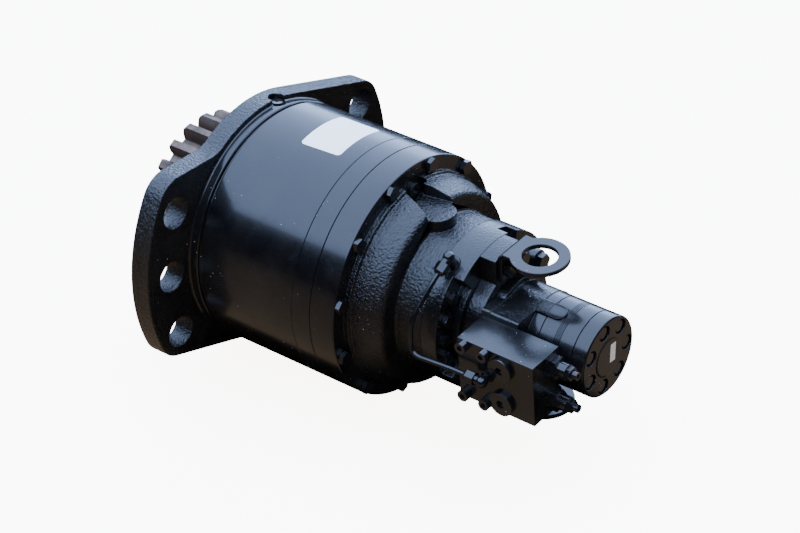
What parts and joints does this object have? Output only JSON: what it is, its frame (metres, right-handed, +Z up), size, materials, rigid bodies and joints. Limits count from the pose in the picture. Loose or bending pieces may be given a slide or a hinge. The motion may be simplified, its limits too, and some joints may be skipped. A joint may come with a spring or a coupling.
{
  "type": "hydraulic swing drive",
  "caption": "Hydraulic swing drive: output pinion, mounting flange with two ears, drum-shaped planetary gearbox, spring-applied brake, orbital motor and relief-valve block.",
  "frame": {"origin": "centre of the flange's mounting face, on the drive axis", "axes": "+X along the drive axis from the pinion towards the motor; +Y along the flange's ears, away from the valve block; +Z up, square to the ears"},
  "size_m": [0.6175, 0.442, 0.314],
  "materials": {
    "black_paint": "gloss",
    "black_casting": "gloss",
    "steel_gear": "satin",
    "bright_steel": "satin",
    "dark_fastener": "satin",
    "spring_steel": "satin",
    "seal_rubber": "matte",
    "friction": "matte"
  },
  "bodies": {
    "housing": {"mounting_flange": "black_casting", "level_plug": "dark_fastener", "shaft_seal": "seal_rubber", "output_bearing_cups": "bright_steel", "output_ring_gear": "black_paint", "input_ring_gear": "black_paint", "end_cover": "black_casting", "cover_bolts": "dark_fastener", "fill_plug": "dark_fastener", "input_bearing_outer": "bright_steel", "input_bearing_balls": "bright_steel", "brake_steel_discs": "bright_steel", "brake_disc_springs": "spring_steel", "brake_housing": "black_casting", "brake_housing_screws": "dark_fastener", "motor_adapter": "black_casting", "motor_bolts": "dark_fastener", "motor_housing": "black_casting", "port_plate": "black_paint", "manifold_plates": "black_paint", "stator_ring": "black_paint", "stator_rollers": "bright_steel", "motor_end_cap": "black_paint", "end_cap_bolts": "dark_fastener", "valve_block": "black_casting", "relief_cartridges": "dark_fastener", "adjuster_lock_nuts": "dark_fastener", "gallery_plugs": "dark_fastener", "block_screws": "dark_fastener", "brake_line_elbows": "dark_fastener", "tube_nuts": "dark_fastener", "brake_tube": "dark_fastener", "upper_lug": "black_paint", "lower_lug": "black_paint", "lug_screws": "dark_fastener"},
    "input_rotor": {"input_shaft": "bright_steel", "motor_shaft": "bright_steel", "input_bearing_inner": "bright_steel", "brake_friction_discs": "friction"},
    "middle_rotor": {"output_sun": "bright_steel", "input_carrier": "steel_gear", "input_planet_pins": "bright_steel"},
    "output_rotor": {"pinion_shaft": "steel_gear", "output_bearing_cones": "bright_steel", "output_bearing_rollers": "bright_steel", "bearing_nut": "dark_fastener", "output_carrier": "steel_gear", "output_planet_pins": "bright_steel"},
    "input_planet_a": {"input_planet_1": "bright_steel"},
    "input_planet_b": {"input_planet_2": "bright_steel"},
    "input_planet_c": {"input_planet_3": "bright_steel"},
    "output_planet_a": {"output_planet_1": "bright_steel"},
    "output_planet_b": {"output_planet_2": "bright_steel"},
    "output_planet_c": {"output_planet_3": "bright_steel"},
    "brake_release": {"brake_piston": "steel_gear"},
    "motor_link": {"drive_link": "bright_steel"},
    "motor_rotor": {"rotor": "bright_steel"},
    "upper_adjusting_screw": {"upper_adjuster": "dark_fastener"},
    "lower_adjusting_screw": {"lower_adjuster": "dark_fastener"}
  },
  "joints": [
    {"name": "motor_turn", "type": "hinge", "parent": "housing", "child": "input_rotor", "pos_m": [0.3, 0, 0], "axis": [1, 0, 0], "continuous": true},
    {"name": "middle_turn", "type": "hinge", "parent": "housing", "child": "middle_rotor", "pos_m": [0.18, 0, 0], "axis": [1, 0, 0], "continuous": true},
    {"name": "pinion_turn", "type": "hinge", "parent": "housing", "child": "output_rotor", "pos_m": [0, 0, 0], "axis": [1, 0, 0], "continuous": true},
    {"name": "input_planet_a_turn", "type": "hinge", "parent": "middle_rotor", "child": "input_planet_a", "pos_m": [0.198, 0, 0.075], "axis": [1, 0, 0], "continuous": true},
    {"name": "input_planet_b_turn", "type": "hinge", "parent": "middle_rotor", "child": "input_planet_b", "pos_m": [0.198, -0.06495, -0.0375], "axis": [1, 0, 0], "continuous": true},
    {"name": "input_planet_c_turn", "type": "hinge", "parent": "middle_rotor", "child": "input_planet_c", "pos_m": [0.198, 0.06495, -0.0375], "axis": [1, 0, 0], "continuous": true},
    {"name": "output_planet_a_turn", "type": "hinge", "parent": "output_rotor", "child": "output_planet_a", "pos_m": [0.137, 0, 0.081], "axis": [1, 0, 0], "continuous": true},
    {"name": "output_planet_b_turn", "type": "hinge", "parent": "output_rotor", "child": "output_planet_b", "pos_m": [0.137, -0.07015, -0.0405], "axis": [1, 0, 0], "continuous": true},
    {"name": "output_planet_c_turn", "type": "hinge", "parent": "output_rotor", "child": "output_planet_c", "pos_m": [0.137, 0.07015, -0.0405], "axis": [1, 0, 0], "continuous": true},
    {"name": "brake_release", "type": "slide", "parent": "housing", "child": "brake_release", "axis": [1, 0, 0], "range_m": [0, 0.002], "stiffness_N_per_m": 60000, "springref_m": -0.002, "deforming": ["brake_disc_springs"]},
    {"name": "link_orbit", "type": "hinge", "parent": "housing", "child": "motor_link", "pos_m": [0.44, 0, 0], "axis": [1, 0, 0], "continuous": true},
    {"name": "rotor_turn", "type": "hinge", "parent": "motor_link", "child": "motor_rotor", "pos_m": [0.4924, 0.00041, 0.00216], "axis": [1, 0, 0], "continuous": true},
    {"name": "upper_adjuster_turn", "type": "hinge", "parent": "housing", "child": "upper_adjusting_screw", "pos_m": [0.5155, -0.07095, 0.01454], "axis": [1, 0, 0], "range_deg": [-360, 360]},
    {"name": "lower_adjuster_turn", "type": "hinge", "parent": "housing", "child": "lower_adjusting_screw", "pos_m": [0.5155, -0.06606, -0.0312], "axis": [1, 0, 0], "range_deg": [-360, 360]}
  ],
  "couplings": [
    {"joint": "middle_turn", "follows": "motor_turn", "ratio": 0.2},
    {"joint": "pinion_turn", "follows": "motor_turn", "ratio": 0.044444},
    {"joint": "input_planet_a_turn", "follows": "motor_turn", "ratio": -0.53333},
    {"joint": "input_planet_b_turn", "follows": "motor_turn", "ratio": -0.53333},
    {"joint": "input_planet_c_turn", "follows": "motor_turn", "ratio": -0.53333},
    {"joint": "output_planet_a_turn", "follows": "motor_turn", "ratio": -0.12444},
    {"joint": "output_planet_b_turn", "follows": "motor_turn", "ratio": -0.12444},
    {"joint": "output_planet_c_turn", "follows": "motor_turn", "ratio": -0.12444},
    {"joint": "link_orbit", "follows": "motor_turn", "ratio": -6},
    {"joint": "rotor_turn", "follows": "motor_turn", "ratio": 7}
  ]
}
